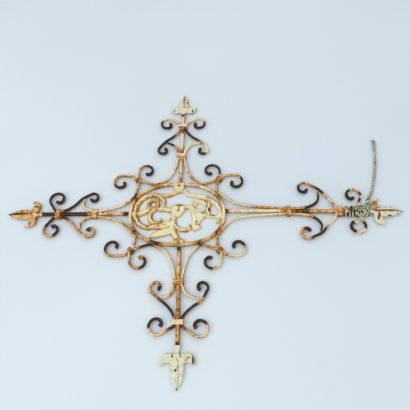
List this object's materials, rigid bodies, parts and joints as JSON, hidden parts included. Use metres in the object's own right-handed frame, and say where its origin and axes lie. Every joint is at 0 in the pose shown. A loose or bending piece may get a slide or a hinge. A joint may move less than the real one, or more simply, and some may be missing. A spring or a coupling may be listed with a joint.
{
  "type": "wrought iron cross",
  "caption": "Long-footed grave cross of scrolled iron bars round an oval ring with an openwork casting, spear-headed arms and a knotted rope.",
  "frame": {"origin": "centre of the oval ring, on the flat back of the casting inside it", "axes": "+X along the shaft to the foot, +Y to the right arm as seen from the front with the head up, +Z out of the face"},
  "size_m": [0.986, 0.8189, 0.0173],
  "materials": {
    "painted_iron": "worn cream paint over orange rust",
    "worn_iron": "dark bare iron with remains of cream paint and rust",
    "cast_iron": "pitted casting with cream paint and rust",
    "twine": "weathered grey-green twisted cord"
  },
  "bodies": {
    "root": {"oval_ring": "painted_iron", "s_scroll_head_left": "worn_iron", "bracket_scroll_head_left": "painted_iron", "s_scroll_head_right": "worn_iron", "bracket_scroll_head_right": "painted_iron", "s_scroll_right_arm_upper": "worn_iron", "bracket_scroll_right_arm_upper": "painted_iron", "s_scroll_right_arm_lower": "worn_iron", "bracket_scroll_right_arm_lower": "painted_iron", "s_scroll_left_arm_upper": "worn_iron", "bracket_scroll_left_arm_upper": "painted_iron", "s_scroll_left_arm_lower": "worn_iron", "bracket_scroll_left_arm_lower": "painted_iron", "s_scroll_foot_left": "worn_iron", "bracket_scroll_foot_left": "painted_iron", "s_scroll_foot_right": "worn_iron", "bracket_scroll_foot_right": "painted_iron", "main_bar_head": "painted_iron", "main_bar_right_arm": "painted_iron", "main_bar_left_arm": "painted_iron", "main_bar_foot": "painted_iron", "collar_head_inner": "painted_iron", "collar_head_outer": "painted_iron", "collar_right_arm_inner": "painted_iron", "collar_right_arm_outer": "painted_iron", "collar_left_arm_inner": "painted_iron", "collar_left_arm_outer": "painted_iron", "collar_foot_inner": "painted_iron", "collar_foot_outer": "painted_iron", "corner_collar_upper_right": "painted_iron", "corner_collar_upper_left": "painted_iron", "corner_collar_lower_right": "painted_iron", "corner_collar_lower_left": "painted_iron", "finial_head": "cast_iron", "finial_right_arm": "cast_iron", "finial_left_arm": "cast_iron", "finial_foot": "cast_iron", "openwork_casting": "cast_iron", "rope_binding": "twine", "rope_tail": "twine"}
  },
  "joints": []
}
